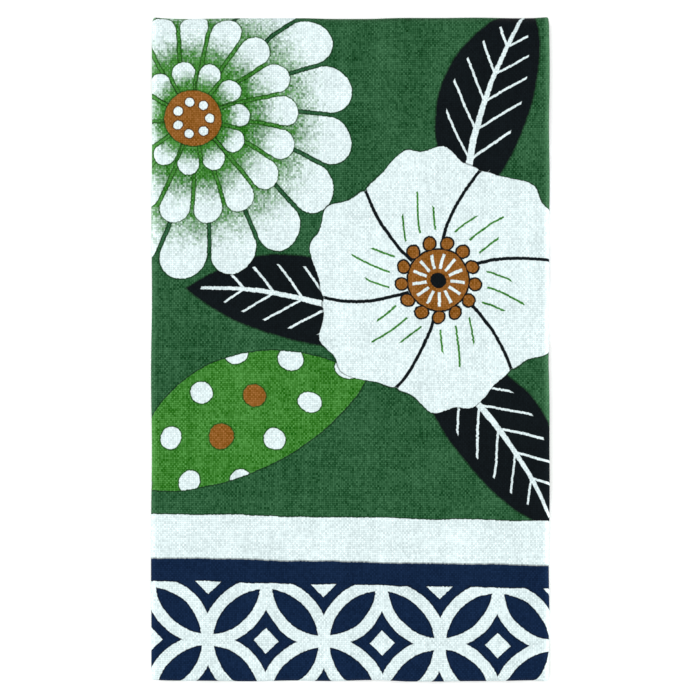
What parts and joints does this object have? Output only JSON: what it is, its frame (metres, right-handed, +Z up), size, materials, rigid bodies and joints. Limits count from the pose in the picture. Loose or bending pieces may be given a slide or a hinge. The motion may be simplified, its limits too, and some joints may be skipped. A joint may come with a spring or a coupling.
{
  "type": "folded tenugui towel",
  "caption": "Dyed cotton hand towel folded flat: folded in on itself across its width, then back and forth along its length, with both cut ends tucked out of sight.",
  "frame": {"origin": "the middle of the underside, on the surface that the towel lies on", "axes": "+X across the face to the right, +Y towards the fold at the top of the face, +Z up out of the face"},
  "size_m": [0.1134, 0.1888, 0.007],
  "materials": {
    "dyed_cotton": "plain-woven cotton, matt, dyed in dark green, navy, light green, brown, black and cloth white"
  },
  "bodies": {
    "root": {"towel": "dyed_cotton"}
  },
  "joints": []
}
